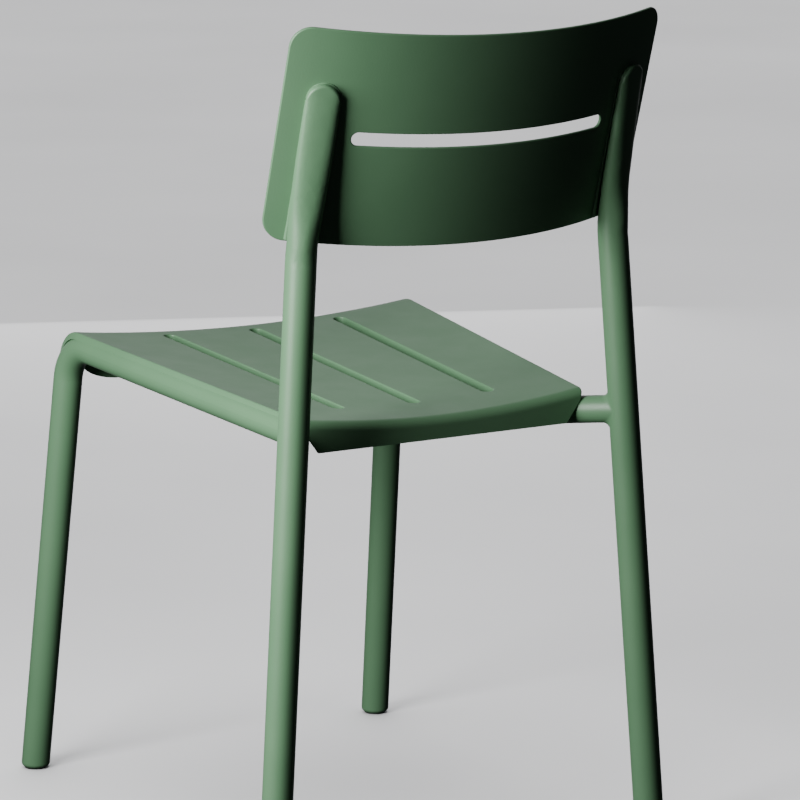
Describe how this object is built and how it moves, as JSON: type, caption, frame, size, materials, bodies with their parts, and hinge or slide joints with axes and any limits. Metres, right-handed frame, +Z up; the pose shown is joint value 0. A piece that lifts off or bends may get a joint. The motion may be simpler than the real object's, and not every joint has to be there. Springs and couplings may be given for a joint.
{
  "type": "stacking chair",
  "caption": "Armless stacking chair: bent tube legs and side rails, slotted sheet seat pan and a curved sheet back with a grip slot.",
  "frame": {"origin": "on the floor, below the middle of the chair's bounding box", "axes": "+X to the sitter's left-hand side of the row, +Y to the back of the chair, +Z up; the chair is symmetric about x = 0"},
  "size_m": [0.433, 0.5685, 0.776],
  "materials": {
    "powder_coat": "satin sage green powder coat",
    "nylon": "moulded nylon",
    "pad_rubber": "moulded rubber"
  },
  "bodies": {
    "root": {"seat_pan": "powder_coat", "back_panel": "powder_coat", "front_leg_and_rail_left": "powder_coat", "front_leg_and_rail_right": "powder_coat", "rear_leg_left": "powder_coat", "rear_leg_right": "powder_coat", "rear_connector_left": "powder_coat", "rear_connector_right": "powder_coat", "front_glide_left": "nylon", "front_glide_right": "nylon", "rear_glide_left": "nylon", "rear_glide_right": "nylon", "stacking_pads": "pad_rubber"}
  },
  "joints": []
}
